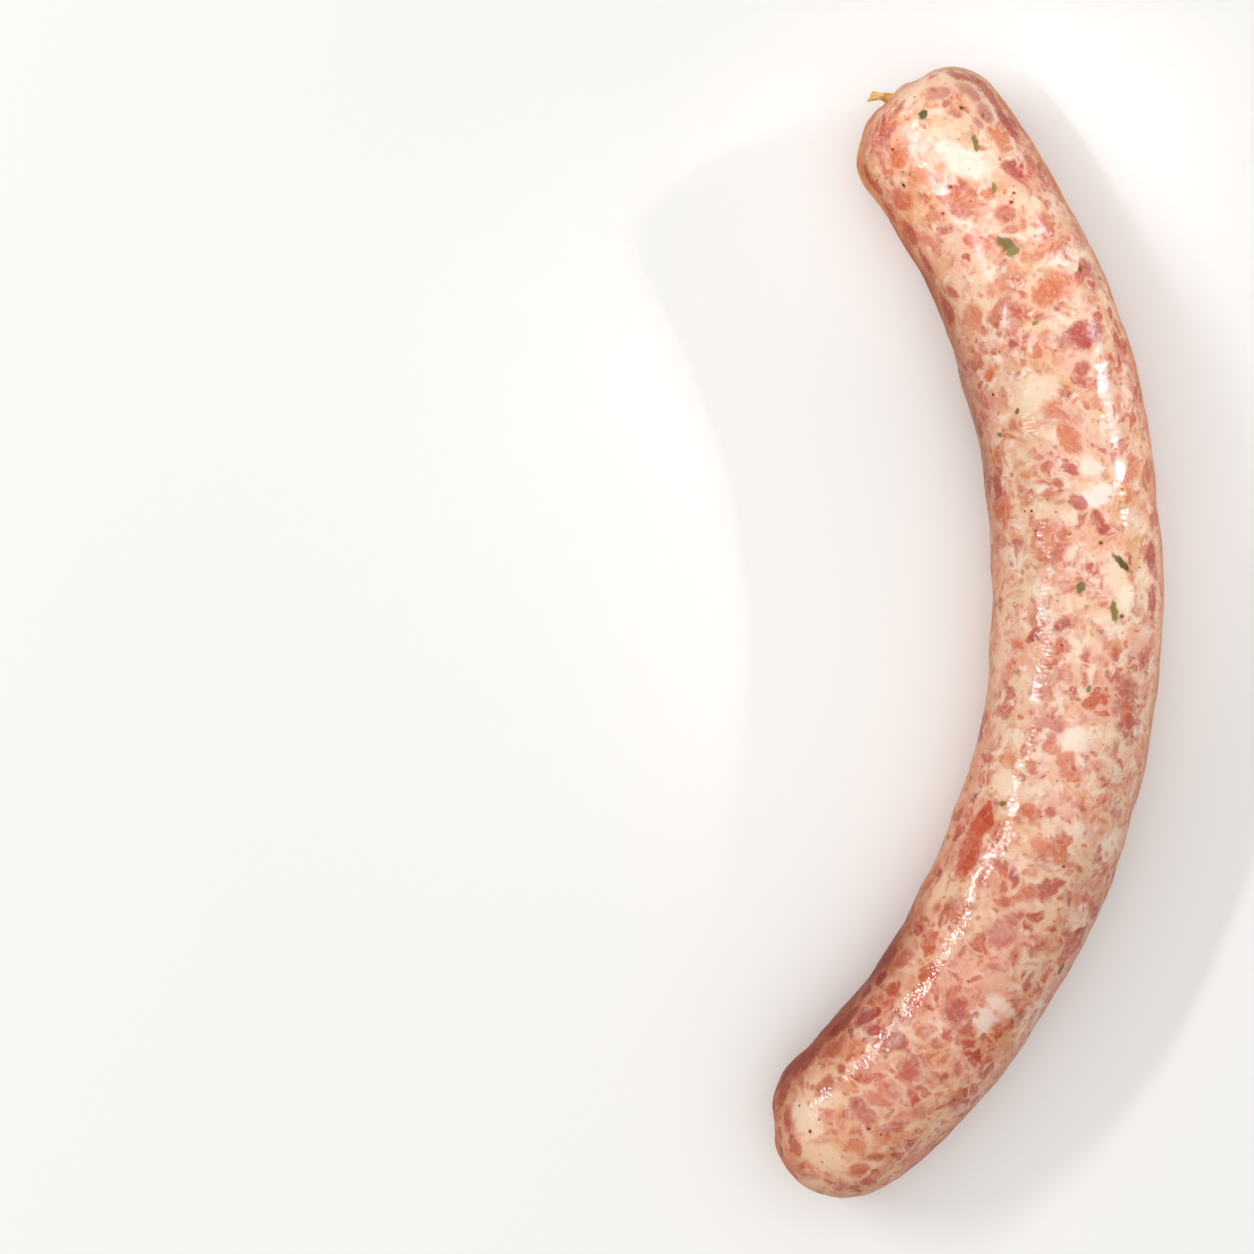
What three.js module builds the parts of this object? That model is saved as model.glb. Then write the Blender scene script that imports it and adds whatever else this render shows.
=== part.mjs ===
// A raw, coarsely ground pork sausage in a natural casing, lying on its side on a flat surface.
// It is one thing of one piece: a soft roll bent like a bow, a little flattened by its own weight.
// Each end is a blunt dome where the casing is gathered into folds, twisted and cut off.
// The upper end's twist stands out as a short dried tail; the lower end's is tucked under.
// Millimetres, +Z up. The bow lies along Y and bulges towards +X. The origin is the middle of its footprint.

import * as THREE from "three";

// Driving dimensions
const length = 221; // along the middle line, from tip to tip
const width = 31; // across, lying down
const height = 28; // from the surface to the back
const pressed = 0.9; // how far the belly would reach below the surface if it weren't pressed flat

// The middle line's heading in degrees from +X, at its middle, and how it turns from there to each tip
const heading = { middle: -94.9, bend: 45.1, lopside: 3.4, curl: 5.7 };

// How the roll narrows from shoulder to rim, as shares of the half length and of the width
const taper = { from: 0.42, to: 0.86, share: 0.055 };
const eggShape = 0.035; // the belly is this share wider than the back

// Uneven filling: how many waves lie round and along the roll, and how high they are
const lumps = [
  { round: 1, along: 3, high: 0.16 },
  { round: 2, along: 5, high: 0.14 },
  { round: 3, along: -8, high: 0.1 },
  { round: 4, along: 13, high: 0.08 },
];
const goldenAngle = 2.39996; // spreads the phases of what repeats

// The two ends. knot says how many degrees the twist lies off the dome's tip, to the bow's outer edge and up.
// Reaches and widths are shares of the dome's radius. The main fold starts at an angle and turns on, and where the
// casing is pinched together across it the dome is dented, over a spread in radians.
// The tail's out, side and up are its tip's place. It flares where it leaves the roll and is broad again at its cut end.
const upperEnd = {
  sign: -1,
  domeDepth: 11.4,
  blunt: 2.2,
  knot: { side: -5, up: 3 },
  dimple: { deep: 1.2, wide: 0.13 },
  folds: { count: 7, deep: 0.6, reach: 0.5, swirl: 0.9 },
  mainFold: { at: 0.4, turn: -0.8, deep: 1.1, sharp: 0.22, reach: 0.75 },
  dent: { share: 0.44, wide: 0.13, deep: 1.0, spread: 0.8 },
  tail: { out: 4.3, side: -2.6, up: 0.9, lean: 2.2, flare: 1.7, broad: 1.3, thin: 0.6, turn: 2.9, slant: 1.1 },
};
const lowerEnd = {
  sign: 1,
  domeDepth: 16,
  blunt: 2.1,
  knot: { side: -14, up: -38 },
  dimple: { deep: 1.3, wide: 0.18 },
  folds: { count: 6, deep: 0.8, reach: 0.55, swirl: -0.8 },
  mainFold: { at: 2.4, turn: 0.3, deep: 0.8, sharp: 0.3, reach: 0.8 },
  dent: { share: 0.5, wide: 0.15, deep: 0.4, spread: 0.7 },
  tail: { out: 2.6, side: -1.2, up: -0.3, lean: 1.8, flare: 1.4, broad: 1.1, thin: 0.6, turn: -1.5, slant: 0.4 },
};
const neckRadius = 1.0; // the twisted casing where it leaves the dimple
const neckCreases = { count: 5, deep: 0.16 };

// How finely the surface is divided
const aroundCount = 48;
const bodyRings = 46;
const domeRings = 12;
const tailRings = 10;
const spineSteps = 600;

const smooth = (from, to, x) => THREE.MathUtils.smoothstep(x, from, to);
const lerp = THREE.MathUtils.lerp;
const radians = THREE.MathUtils.degToRad;

// The middle line: a heading that turns a little faster towards the tips, added up step by step.
function headingAt(s) {
  const u = (2 * s) / length;
  return radians(heading.middle - u * (heading.bend + heading.lopside * u + heading.curl * u * u));
}

function makeSpine() {
  const step = length / spineSteps;
  const points = [new THREE.Vector3()];
  for (let i = 0; i < spineSteps; i++) {
    const angle = headingAt(-length / 2 + (i + 0.5) * step);
    const along = new THREE.Vector3(Math.cos(angle), Math.sin(angle), 0);
    points.push(along.multiplyScalar(step).add(points[i]));
  }
  return points;
}

const spine = makeSpine();

// The place on the middle line at s, with the directions along it, to the bow's outer edge and up.
function frameAt(s) {
  const at = THREE.MathUtils.clamp(s / length + 0.5, 0, 1) * spineSteps;
  const i = Math.min(Math.floor(at), spineSteps - 1);
  const angle = headingAt(s);
  const along = new THREE.Vector3(Math.cos(angle), Math.sin(angle), 0);
  return {
    place: spine[i].clone().lerp(spine[i + 1], at - i),
    along,
    side: new THREE.Vector3(-along.y, along.x, 0),
    up: new THREE.Vector3(0, 0, 1),
  };
}

// Share of the full width that the roll has at s.
function girth(s) {
  return 1 - taper.share * smooth(taper.from, taper.to, Math.abs((2 * s) / length));
}

// How far the filling pushes the casing out at s and at angle round.
function lump(s, round) {
  return lumps.reduce((sum, wave, i) => {
    const along = (2 * Math.PI * wave.along * s) / length;
    return sum + wave.high * Math.sin(wave.round * round + along + i * goldenAngle);
  }, 0);
}

// A point of the roll. across and rise are shares of its half width and half height there.
function rollPoint(s, across, rise) {
  const frame = frameAt(s);
  const swell = girth(s) * (1 + lump(s, Math.atan2(rise, across)) / (width / 2));
  const halfHeight = (height + pressed) / 2;
  const egg = 1 - eggShape * rise;
  return frame.place
    .clone()
    .addScaledVector(frame.side, (width / 2) * swell * across * egg)
    .addScaledVector(frame.up, halfHeight * (girth(s) + swell * rise) - pressed);
}

const pressOnSurface = (point) => point.setZ(Math.max(point.z, 0));

// A dome is a half ellipsoid, a little blunter. slope runs from 0 at the knot to a right angle at the rim.
// Its pole is drawn off the tip towards the knot, and the rings about it spread out evenly to the rim.
function domeDirection(end, slope, round) {
  const share = Math.sin(slope);
  const knotTilt = radians(Math.hypot(end.knot.side, end.knot.up));
  const knotAngle = Math.atan2(end.knot.up, end.knot.side);
  const tilt = knotTilt * (1 - share);
  const towards = share * Math.cos(round - knotAngle);
  const out = Math.cos(slope);
  const shifted = towards * Math.cos(tilt) + out * Math.sin(tilt) - towards;
  const side = share * Math.cos(round) + shifted * Math.cos(knotAngle);
  const up = share * Math.sin(round) + shifted * Math.sin(knotAngle);
  const forward = out * Math.cos(tilt) - towards * Math.sin(tilt);
  const swell = (Math.hypot(side, up) ** end.blunt + Math.abs(forward) ** end.blunt) ** (-1 / end.blunt);
  return { side: side * swell, up: up * swell, out: forward * swell };
}

// How deep the gathered casing lies below the dome: a dimple, folds with sharp valleys, and one long main fold.
function gatherDepth(end, share, round) {
  const { dimple, folds, mainFold, dent } = end;
  const turned = round + folds.swirl * (1 - smooth(0, 0.5, share));
  const valley = (1 - Math.abs(Math.sin((folds.count * turned) / 2))) ** 1.4;
  const uneven = 0.7 + 0.3 * Math.cos(2 * turned + goldenAngle);
  const off = round - mainFold.at - mainFold.turn * share;
  const away = Math.abs(Math.atan2(Math.sin(off), Math.cos(off)));
  const mainWindow = smooth(0.05, 0.25, share) * (1 - smooth(0.4, mainFold.reach, share));
  const pinched = Math.exp(-(((share - dent.share) / dent.wide) ** 2) - (away / dent.spread) ** 2);
  return (
    dimple.deep * Math.exp(-((share / dimple.wide) ** 2)) +
    folds.deep * valley * uneven * (1 - smooth(0.1, folds.reach, share)) +
    mainFold.deep * Math.exp(-away / mainFold.sharp) * mainWindow +
    dent.deep * pinched
  );
}

function domePoint(end, slope, round) {
  const unit = domeDirection(end, slope, round);
  const s = end.sign * (length / 2 - end.domeDepth * (1 - unit.out));
  const frame = frameAt(s);
  const normal = frame.side
    .clone()
    .multiplyScalar(unit.side / (width / 2))
    .addScaledVector(frame.up, unit.up / (height / 2))
    .addScaledVector(frame.along, (end.sign * unit.out) / end.domeDepth)
    .normalize();
  const depth = gatherDepth(end, Math.sin(slope), round);
  return { point: rollPoint(s, unit.side, unit.up).addScaledVector(normal, -depth), normal };
}

// The twisted tail: a ribbon of dried casing that leaves the dimple and leans over.
function tailPath(end) {
  const { point: root, normal } = domePoint(end, 0, 0);
  const frame = frameAt((end.sign * length) / 2);
  const upward = frame.up.clone().addScaledVector(normal, -normal.dot(frame.up)).normalize();
  const tip = root
    .clone()
    .addScaledVector(normal, end.tail.out)
    .addScaledVector(frame.side, end.tail.side)
    .addScaledVector(upward, end.tail.up);
  const bow = root.clone().addScaledVector(normal, end.tail.lean);
  return { curve: new THREE.QuadraticBezierCurve3(root, bow, tip), upward };
}

function tailRing(end, path, t) {
  const { tail } = end;
  const middle = path.curve.getPoint(t);
  const along = path.curve.getTangent(t);
  const upward = path.upward.clone().addScaledVector(along, -along.dot(path.upward)).normalize();
  const sideways = new THREE.Vector3().crossVectors(upward, along).multiplyScalar(end.sign);
  const flat = smooth(0.35, 0.8, t);
  const flare = (tail.flare - neckRadius) * (1 - smooth(0.05, 0.4, t));
  const closing = 0.5 + 0.5 * Math.sqrt(1 - smooth(0.8, 1, t) ** 2);
  const broad = lerp(neckRadius + flare, tail.broad, flat) * closing;
  const thin = lerp(neckRadius + flare, tail.thin, flat) * closing;
  const turned = tail.turn * t;
  return (round) => {
    const crease = 1 - neckCreases.deep * (1 - flat) * (1 + Math.cos(neckCreases.count * round));
    const x = broad * crease * Math.cos(round - turned);
    const y = thin * crease * Math.sin(round - turned);
    const point = middle
      .clone()
      .addScaledVector(sideways, x * Math.cos(turned) - y * Math.sin(turned))
      .addScaledVector(upward, x * Math.sin(turned) + y * Math.cos(turned))
      .addScaledVector(along, tail.slant * smooth(0.6, 1, t) * (x / tail.broad));
    return pressOnSurface(point);
  };
}

// The rings of one end, from the dome's rim to the tail's tip, closer together near the knot.
function endRings(end) {
  const rings = [];
  const leastSlope = Math.asin((1.3 * neckRadius) / (width / 2));
  for (let i = 0; i <= domeRings; i++) {
    const slope = lerp(leastSlope, Math.PI / 2, (1 - i / domeRings) ** 1.5);
    rings.push((round) => pressOnSurface(domePoint(end, slope, round).point));
  }
  const path = tailPath(end);
  for (let i = 1; i <= tailRings; i++) {
    rings.push(tailRing(end, path, lerp(0.1, 1, i / tailRings)));
  }
  return rings;
}

// All rings from the upper end's tail to the lower end's tail.
function allRings() {
  const first = -length / 2 + upperEnd.domeDepth;
  const last = length / 2 - lowerEnd.domeDepth;
  const body = [];
  for (let i = 1; i < bodyRings; i++) {
    const s = lerp(first, last, i / bodyRings);
    body.push((round) => pressOnSurface(rollPoint(s, Math.cos(round), Math.sin(round))));
  }
  return [...endRings(upperEnd).reverse(), ...body, ...endRings(lowerEnd)];
}

// A closed surface through the rings, with a point at each tip.
function skinOver(rings) {
  const positions = [];
  const faces = [];
  const middles = rings.map(() => new THREE.Vector3());
  rings.forEach((ring, r) => {
    for (let k = 0; k < aroundCount; k++) {
      const point = ring((2 * Math.PI * k) / aroundCount);
      middles[r].addScaledVector(point, 1 / aroundCount);
      positions.push(point.x, point.y, point.z);
    }
  });
  const corner = (r, k) => r * aroundCount + (k % aroundCount);
  for (let r = 0; r + 1 < rings.length; r++) {
    for (let k = 0; k < aroundCount; k++) {
      faces.push(corner(r, k), corner(r, k + 1), corner(r + 1, k));
      faces.push(corner(r, k + 1), corner(r + 1, k + 1), corner(r + 1, k));
    }
  }
  const last = rings.length - 1;
  const firstTip = rings.length * aroundCount;
  [middles[0], middles[last]].forEach((tip) => positions.push(tip.x, tip.y, tip.z));
  for (let k = 0; k < aroundCount; k++) {
    faces.push(firstTip, corner(0, k + 1), corner(0, k));
    faces.push(firstTip + 1, corner(last, k), corner(last, k + 1));
  }
  const geometry = new THREE.BufferGeometry();
  geometry.setAttribute("position", new THREE.Float32BufferAttribute(positions, 3));
  geometry.setIndex(faces);
  return geometry;
}

// The origin goes to the middle of the footprint.
function centreOnFootprint(geometry) {
  geometry.computeBoundingBox();
  const box = geometry.boundingBox;
  geometry.translate(-(box.min.x + box.max.x) / 2, -(box.min.y + box.max.y) / 2, -box.min.z);
  geometry.computeVertexNormals();
  return geometry;
}

const rawPork = new THREE.MeshStandardMaterial({ color: 0xe0ad92, roughness: 0.3, metalness: 0 });
const sausage = new THREE.Mesh(centreOnFootprint(skinOver(allRings())), rawPork);
sausage.name = "sausage";

const part = new THREE.Group();
part.add(sausage);
export default part;
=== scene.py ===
# A raw coarse pork sausage in its wet natural casing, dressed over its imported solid.
# Lengths are in millimetres until the mesh is written, which is in metres.
import math

import bpy
import numpy as np
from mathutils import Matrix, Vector


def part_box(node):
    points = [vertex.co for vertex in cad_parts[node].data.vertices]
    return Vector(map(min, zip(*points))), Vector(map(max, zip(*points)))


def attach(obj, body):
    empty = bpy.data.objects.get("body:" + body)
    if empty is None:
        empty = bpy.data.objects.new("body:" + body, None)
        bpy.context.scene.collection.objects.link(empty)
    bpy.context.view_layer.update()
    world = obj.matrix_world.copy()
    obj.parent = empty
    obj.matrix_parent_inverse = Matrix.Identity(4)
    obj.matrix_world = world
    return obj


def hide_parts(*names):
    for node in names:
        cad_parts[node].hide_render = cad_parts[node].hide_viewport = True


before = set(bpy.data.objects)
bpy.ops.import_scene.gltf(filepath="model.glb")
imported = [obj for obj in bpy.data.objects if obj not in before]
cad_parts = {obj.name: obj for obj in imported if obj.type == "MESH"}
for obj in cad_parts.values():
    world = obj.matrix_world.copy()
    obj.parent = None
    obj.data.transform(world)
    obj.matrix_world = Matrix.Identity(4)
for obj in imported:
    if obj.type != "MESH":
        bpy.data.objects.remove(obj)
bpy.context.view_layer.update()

millimetre = 0.001
goldenAngle = 2.39996  # spreads the phases of what repeats

# The roll's own sizes, as in the solid
roll = {
    "length": 221,
    "width": 31,
    "height": 28,
    "pressed": 0.9,  # how far the belly would reach below the surface
    "heading": -94.9,  # at the middle, in degrees from +X; the next three turn it towards the ends
    "bend": 45.1,
    "lopside": 3.4,
    "curl": 5.7,
    "taperFrom": 0.42,
    "taperTo": 0.86,
    "taperShare": 0.055,
    "eggShape": 0.035,
    "spineSteps": 600,
    "neckRadius": 1.0,
    "neckCreases": 5,
    "neckCreaseDepth": 0.16,
    "gatheredReach": 3.2,  # of the thick pale casing about a knot
}
lumps = [  # waves round and along the roll, and their height
    {"round": 1, "along": 3, "high": 0.16},
    {"round": 2, "along": 5, "high": 0.14},
    {"round": 3, "along": -8, "high": 0.10},
    {"round": 4, "along": 13, "high": 0.08},
]
upperEnd = {
    "sign": -1,
    "domeDepth": 11.4,
    "blunt": 2.2,
    "knot": {"side": -5, "up": 3},  # degrees off the dome's tip
    "dimple": {"deep": 1.2, "wide": 0.13},
    "folds": {"count": 7, "deep": 0.6, "reach": 0.5, "swirl": 0.9},
    "mainFold": {"at": 0.4, "turn": -0.8, "deep": 1.1, "sharp": 0.22, "reach": 0.75},
    "dent": {"share": 0.44, "wide": 0.13, "deep": 1.0, "spread": 0.8},
    "tail": {"out": 3.6, "side": -2.4, "up": 0.9, "lean": 1.9, "flare": 1.7, "broad": 1.15,
             "thin": 0.55, "turn": 2.9, "slant": 0.9, "fork": 1.1},
    "domeRings": 66,
    "tailRings": 24,
}
lowerEnd = {
    "sign": 1,
    "domeDepth": 16,
    "blunt": 2.1,
    "knot": {"side": -14, "up": -38},
    "dimple": {"deep": 1.3, "wide": 0.18},
    "folds": {"count": 6, "deep": 0.8, "reach": 0.55, "swirl": -0.8},
    "mainFold": {"at": 2.4, "turn": 0.3, "deep": 0.8, "sharp": 0.3, "reach": 0.8},
    "dent": {"share": 0.5, "wide": 0.15, "deep": 0.4, "spread": 0.7},
    "tail": {"out": 2.6, "side": -1.2, "up": -0.3, "lean": 1.8, "flare": 1.4, "broad": 1.1,
             "thin": 0.6, "turn": -1.5, "slant": 0.4, "fork": 0.3},
    "domeRings": 74,
    "tailRings": 16,
}
gathers = {  # for both ends, in shares of the way from the knot to the dome's rim
    "swirlEnds": 0.5,
    "foldPower": 1.4,
    "unevenness": 0.3,
    "foldsFade": 0.1,
    "mainFoldStarts": (0.05, 0.25),
    "mainFoldFades": 0.4,
}
tailForm = {  # for both tails, in shares of their length, but the last two
    "narrows": (0.05, 0.4),
    "flattens": (0.35, 0.8),
    "slants": (0.6, 1),
    "closes": (0.8, 1),
    "tipShare": 0.5,  # of the full girth
    "forkMiddle": 0.3,  # mm
}
mesh = {
    "around": 192,
    "bodyRings": 320,
    "crowding": 1.5,  # draws a dome's rings together towards the knot
    "domeHole": 1.3,  # in neck radii, where a dome stops and its tail begins
    "tailStart": 0.1,  # the share of a tail that lies under its dome
}


# An S from 0 below low to 1 above high
def smooth(low, high, x):
    share = np.clip((x - low) / (high - low), 0, 1)
    return share * share * (3 - 2 * share)


# From a where share is 0 to b where it is 1
def mixed(a, b, share):
    return a + (b - a) * share


# Lengths of the vectors in an array's last axis, kept as an axis
def lengthOf(vectors):
    return np.linalg.norm(vectors, axis=-1, keepdims=True)


# The middle line's heading at s: heading - u (bend + lopside u + curl u u), u going from -1 to 1
def headingAt(s):
    u = 2 * s / roll["length"]
    return np.radians(roll["heading"] - u * (roll["bend"] + roll["lopside"] * u + roll["curl"] * u * u))


# The middle line's points: short steps along the heading, added up
def makeSpine():
    step = roll["length"] / roll["spineSteps"]
    middles = (np.arange(roll["spineSteps"]) + 0.5) * step - roll["length"] / 2
    moves = np.stack([np.cos(headingAt(middles)), np.sin(headingAt(middles))], 1) * step
    return np.vstack([np.zeros((1, 2)), np.cumsum(moves, 0)])


spine = makeSpine()


# The place on the middle line at s, and the directions along it, to the bow's outer edge and up
def frameAt(s):
    stations = np.linspace(-roll["length"] / 2, roll["length"] / 2, len(spine))
    flat = np.zeros_like(s)
    place = np.stack([np.interp(s, stations, spine[:, 0]), np.interp(s, stations, spine[:, 1]), flat], -1)
    along = np.stack([np.cos(headingAt(s)), np.sin(headingAt(s)), flat], -1)
    side = np.stack([-along[..., 1], along[..., 0], flat], -1)
    return place, along, side, np.stack([flat, flat, flat + 1], -1)


# The girth's share of its full size: all of it, but for a smooth taper towards the ends
def girth(s):
    outward = np.abs(2 * s / roll["length"])
    return 1 - roll["taperShare"] * smooth(roll["taperFrom"], roll["taperTo"], outward)


# How far the filling pushes the casing out: a sum of sines round and along the roll
def lump(s, turn):
    lengthwise = 2 * np.pi * s / roll["length"]
    return sum(
        wave["high"] * np.sin(wave["round"] * turn + wave["along"] * lengthwise + i * goldenAngle)
        for i, wave in enumerate(lumps)
    )


# A point of the roll: across and rise are shares of its half width and half height at s
def rollPoint(s, across, rise):
    place, along, side, up = frameAt(s)
    swell = girth(s) * (1 + lump(s, np.arctan2(rise, across)) / (roll["width"] / 2))
    halfHeight = (roll["height"] + roll["pressed"]) / 2
    wide = roll["width"] / 2 * swell * across * (1 - roll["eggShape"] * rise)
    high = halfHeight * (girth(s) + swell * rise) - roll["pressed"]
    return place + side * wide[..., None] + up * high[..., None]


# Directions over a dome, a blunted half ellipsoid whose pole is drawn off the tip towards the knot
def domeDirection(end, slope, turn):
    share = np.sin(slope)
    knot = end["knot"]
    knotAngle = math.atan2(knot["up"], knot["side"])
    tilt = math.radians(math.hypot(knot["side"], knot["up"])) * (1 - share)
    towards = share * np.cos(turn - knotAngle)
    shifted = towards * np.cos(tilt) + np.cos(slope) * np.sin(tilt) - towards
    side = share * np.cos(turn) + shifted * math.cos(knotAngle)
    up = share * np.sin(turn) + shifted * math.sin(knotAngle)
    forward = np.cos(slope) * np.cos(tilt) - towards * np.sin(tilt)
    blunt = end["blunt"]
    swell = (np.hypot(side, up) ** blunt + np.abs(forward) ** blunt) ** (-1 / blunt)
    return side * swell, up * swell, forward * swell


# How deep the gathers lie below the dome: a dimple, sharp folds, a main fold and a dent, added up
def gatherDepth(end, share, turn):
    dimple, folds, mainFold, dent = (end[name] for name in ("dimple", "folds", "mainFold", "dent"))
    turned = turn + folds["swirl"] * (1 - smooth(0, gathers["swirlEnds"], share))
    valley = (1 - np.abs(np.sin(folds["count"] * turned / 2))) ** gathers["foldPower"]
    uneven = 1 - gathers["unevenness"] * (1 - np.cos(2 * turned + goldenAngle))
    folded = 1 - smooth(gathers["foldsFade"], folds["reach"], share)
    off = turn - mainFold["at"] - mainFold["turn"] * share
    away = np.abs(np.arctan2(np.sin(off), np.cos(off)))
    window = smooth(*gathers["mainFoldStarts"], share)
    window *= 1 - smooth(gathers["mainFoldFades"], mainFold["reach"], share)
    pinched = np.exp(-(((share - dent["share"]) / dent["wide"]) ** 2) - (away / dent["spread"]) ** 2)
    return (
        dimple["deep"] * np.exp(-((share / dimple["wide"]) ** 2))
        + folds["deep"] * valley * uneven * folded
        + mainFold["deep"] * np.exp(-away / mainFold["sharp"]) * window
        + dent["deep"] * pinched
    )


# Points and normals of a dome: the blunted ellipsoid, sunk by the gathers
def domePoint(end, slope, turn):
    side, up, forward = domeDirection(end, slope, turn)
    s = end["sign"] * (roll["length"] / 2 - end["domeDepth"] * (1 - forward))
    _, alongWay, sideWay, upWay = frameAt(s)
    normal = (
        sideWay * (side / (roll["width"] / 2))[..., None]
        + upWay * (up / (roll["height"] / 2))[..., None]
        + alongWay * (end["sign"] * forward / end["domeDepth"])[..., None]
    )
    normal /= lengthOf(normal)
    depth = gatherDepth(end, np.sin(slope), turn)
    return rollPoint(s, side, up) - normal * depth[..., None], normal, s


# The tail: an oval carried along a curve from the dimple, flared at its root, twisted and forked at its tip
def tailPoints(end, t, turn):
    tail = end["tail"]
    root, normal, _ = domePoint(end, np.zeros(1), np.zeros(1))
    root, normal = root[0], normal[0]
    _, _, sideWay, upWay = (part[0] for part in frameAt(np.array([end["sign"] * roll["length"] / 2])))
    upward = upWay - normal * normal.dot(upWay)
    upward /= np.linalg.norm(upward)
    bow = root + normal * tail["lean"]
    tip = root + normal * tail["out"] + sideWay * tail["side"] + upward * tail["up"]
    t = t[:, None]
    middle = (1 - t) ** 2 * root + 2 * t * (1 - t) * bow + t * t * tip
    along = 2 * (1 - t) * (bow - root) + 2 * t * (tip - bow)
    along /= lengthOf(along)
    upwards = upward - along * (along @ upward)[:, None]
    upwards /= lengthOf(upwards)
    sideways = np.cross(upwards, along) * end["sign"]
    flat = smooth(*tailForm["flattens"], t)
    neck = mixed(tail["flare"], roll["neckRadius"], smooth(*tailForm["narrows"], t))
    closing = mixed(tailForm["tipShare"], 1, np.sqrt(1 - smooth(*tailForm["closes"], t) ** 2))
    creases = 1 + np.cos(roll["neckCreases"] * turn)
    crease = 1 - roll["neckCreaseDepth"] * (1 - flat) * creases
    turned = tail["turn"] * t
    x = mixed(neck, tail["broad"], flat) * closing * crease * np.cos(turn - turned)
    y = mixed(neck, tail["thin"], flat) * closing * crease * np.sin(turn - turned)
    cut = (tail["slant"] * x + tail["fork"] * (np.abs(x) - tailForm["forkMiddle"])) / tail["broad"]
    return (
        middle[:, None]
        + sideways[:, None] * (x * np.cos(turned) - y * np.sin(turned))[..., None]
        + upwards[:, None] * (x * np.sin(turned) + y * np.cos(turned))[..., None]
        + along[:, None] * (smooth(*tailForm["slants"], t) * cut)[..., None]
    )


# One end's rings, from the dome's rim to the tail's tip: points, place along the roll and share of the tail
def endRings(end, turn):
    leastSlope = math.asin(mesh["domeHole"] * roll["neckRadius"] / (roll["width"] / 2))
    share = 1 - np.arange(end["domeRings"] + 1) / end["domeRings"]
    slope = mixed(leastSlope, np.pi / 2, share ** mesh["crowding"])
    dome, _, s = domePoint(end, slope[:, None] + 0 * turn, turn + 0 * slope[:, None])
    t = mixed(mesh["tailStart"], 1, np.arange(1, end["tailRings"] + 1) / end["tailRings"])
    tail = tailPoints(end, t, turn)
    tailPlace = np.full(tail.shape[:2], end["sign"] * roll["length"] / 2)
    onTail = np.concatenate([np.zeros(len(slope)), t])
    return np.concatenate([dome, tail]), np.concatenate([s, tailPlace]), onTail


# The whole skin as rings of points, from the upper tail's tip to the lower tail's, and for each point its
# place along the roll and its share of the tail
def skinRings():
    turn = np.arange(mesh["around"]) * 2 * np.pi / mesh["around"]
    first = upperEnd["domeDepth"] - roll["length"] / 2
    last = roll["length"] / 2 - lowerEnd["domeDepth"]
    s = mixed(first, last, np.arange(1, mesh["bodyRings"]) / mesh["bodyRings"])[:, None] + 0 * turn
    body = rollPoint(s, np.cos(turn) + 0 * s, np.sin(turn) + 0 * s)
    upper, upperPlace, upperTail = endRings(upperEnd, turn)
    lower, lowerPlace, lowerTail = endRings(lowerEnd, turn)
    points = np.concatenate([upper[::-1], body, lower])
    points[..., 2] = np.maximum(points[..., 2], 0)
    place = np.concatenate([upperPlace[::-1], s, lowerPlace])
    onTail = np.concatenate([upperTail[::-1], np.zeros(len(s)), lowerTail])
    return points, place, np.repeat(onTail[:, None], len(turn), 1)


# Normals of a grid of rings: the cross product of its two directions
def gridNormals(points):
    around = np.roll(points, -1, 1) - np.roll(points, 1, 1)
    along = np.gradient(points, axis=0)
    normals = np.cross(around, along)
    return normals / np.maximum(lengthOf(normals), 1e-9)


# A gentle random field about one wavelength wide: cosines in random directions, added up and divided by the
# root of their number
def ripple(points, wavelength, seed, waves=48):
    rng = np.random.default_rng(seed)
    ways = rng.normal(size=(waves, 3))
    ways *= 2 * np.pi / wavelength * rng.uniform(0.75, 1.3, (waves, 1)) / lengthOf(ways)
    phases = rng.uniform(0, 2 * np.pi, waves)
    total = np.zeros(points.shape[:-1])
    for way, phase in zip(ways, phases):
        total += np.cos(points @ way + phase)
    return total / math.sqrt(waves)


# The camera: straight above the middle of the photograph, which shows the sausage to its right
camera = {
    "imageSize": 1254,  # pixels
    "middle": (968.2, 632.2),  # the pixel over the origin
    "scale": 0.1813,  # mm a pixel at the sausage's mid height
    "level": 14,  # that height, in mm
    "lens": 100,
    "sensor": 36,
}
camera["distance"] = camera["imageSize"] * camera["scale"] * camera["lens"] / camera["sensor"]
camera["x"] = (camera["imageSize"] / 2 - camera["middle"][0]) * camera["scale"]
camera["y"] = (camera["middle"][1] - camera["imageSize"] / 2) * camera["scale"]


# The pixels at which the camera sees points
def pixelsOf(points):
    depth = camera["distance"] + camera["level"] - points[..., 2]
    grow = camera["distance"] / depth / camera["scale"]
    half = camera["imageSize"] / 2
    right = (points[..., 0] - camera["x"]) * grow
    down = (camera["y"] - points[..., 1]) * grow
    return np.stack([half + right, half + down], -1)


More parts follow.
